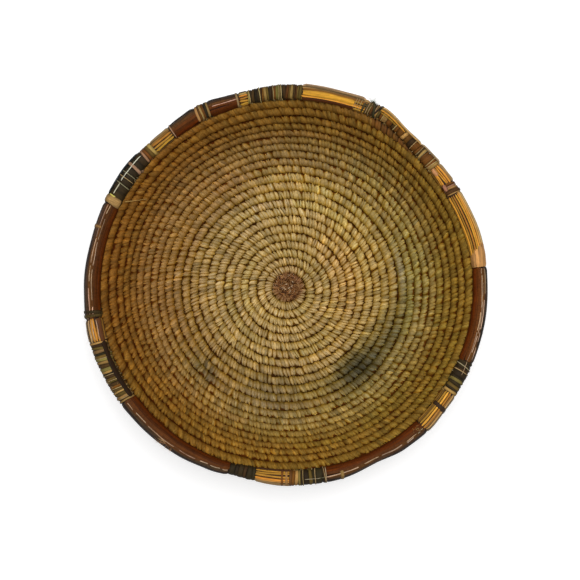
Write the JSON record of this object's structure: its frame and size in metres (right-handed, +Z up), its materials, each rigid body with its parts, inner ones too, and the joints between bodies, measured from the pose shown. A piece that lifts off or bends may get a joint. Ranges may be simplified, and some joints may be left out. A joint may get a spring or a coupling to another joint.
{
  "type": "coiled basket",
  "caption": "Shallow coiled basket bowl with a start knot, a sewn spiral floor, a flaring wall and a round rim bound with straw, bark strips and dark fibre",
  "frame": {"origin": "middle of the bowl's outline on the plane that its floor stands on", "axes": "+Z up out of the bowl; seen from above the coil winds outward clockwise and ends 62 degrees counterclockwise from +X"},
  "size_m": [0.3494, 0.3476, 0.0688],
  "materials": {
    "foundation": "dry grass bundle, matte",
    "sewing": "split plant fibre, tan, matte",
    "knot": "dark red-brown fibre, fuzzy, matte",
    "straw": "orange straw laid lengthwise, satin",
    "bark": "dark red-brown bark strips, semi-gloss",
    "black_fibre": "black dyed fibre wrapping, satin",
    "olive_fibre": "dark olive fibre wrapping, satin",
    "tie": "tan fibre lashing, matte"
  },
  "bodies": {
    "root": {"coil_tail": "tie", "foundation_coil": "foundation", "rim_bark_1": "bark", "rim_bark_2": "bark", "rim_bark_3": "bark", "rim_bark_4": "bark", "rim_bark_5": "bark", "rim_bark_6": "bark", "rim_bark_7": "bark", "rim_core": "foundation", "rim_lashing_1": "tie", "rim_lashing_2": "tie", "rim_lashing_3": "tie", "rim_straw_1": "straw", "rim_straw_2": "straw", "rim_straw_3": "straw", "rim_straw_4": "straw", "rim_straw_5": "straw", "rim_straw_6": "straw", "rim_straw_7": "straw", "rim_straw_8": "straw", "rim_wrap_1": "olive_fibre", "rim_wrap_2": "black_fibre", "rim_wrap_3": "olive_fibre", "rim_wrap_4": "black_fibre", "rim_wrap_5": "olive_fibre", "rim_wrap_6": "black_fibre", "rim_wrap_7": "black_fibre", "sewing_course_01": "sewing", "sewing_course_02": "sewing", "sewing_course_03": "sewing", "sewing_course_04": "sewing", "sewing_course_05": "sewing", "sewing_course_06": "sewing", "sewing_course_07": "sewing", "sewing_course_08": "sewing", "sewing_course_09": "sewing", "sewing_course_10": "sewing", "sewing_course_11": "sewing", "sewing_course_12": "sewing", "sewing_course_13": "sewing", "sewing_course_14": "sewing", "sewing_course_15": "sewing", "sewing_course_16": "sewing", "sewing_course_17": "sewing", "sewing_course_18": "sewing", "sewing_course_19": "sewing", "sewing_course_20": "sewing", "sewing_course_21": "sewing", "start_knot": "knot"}
  },
  "joints": []
}
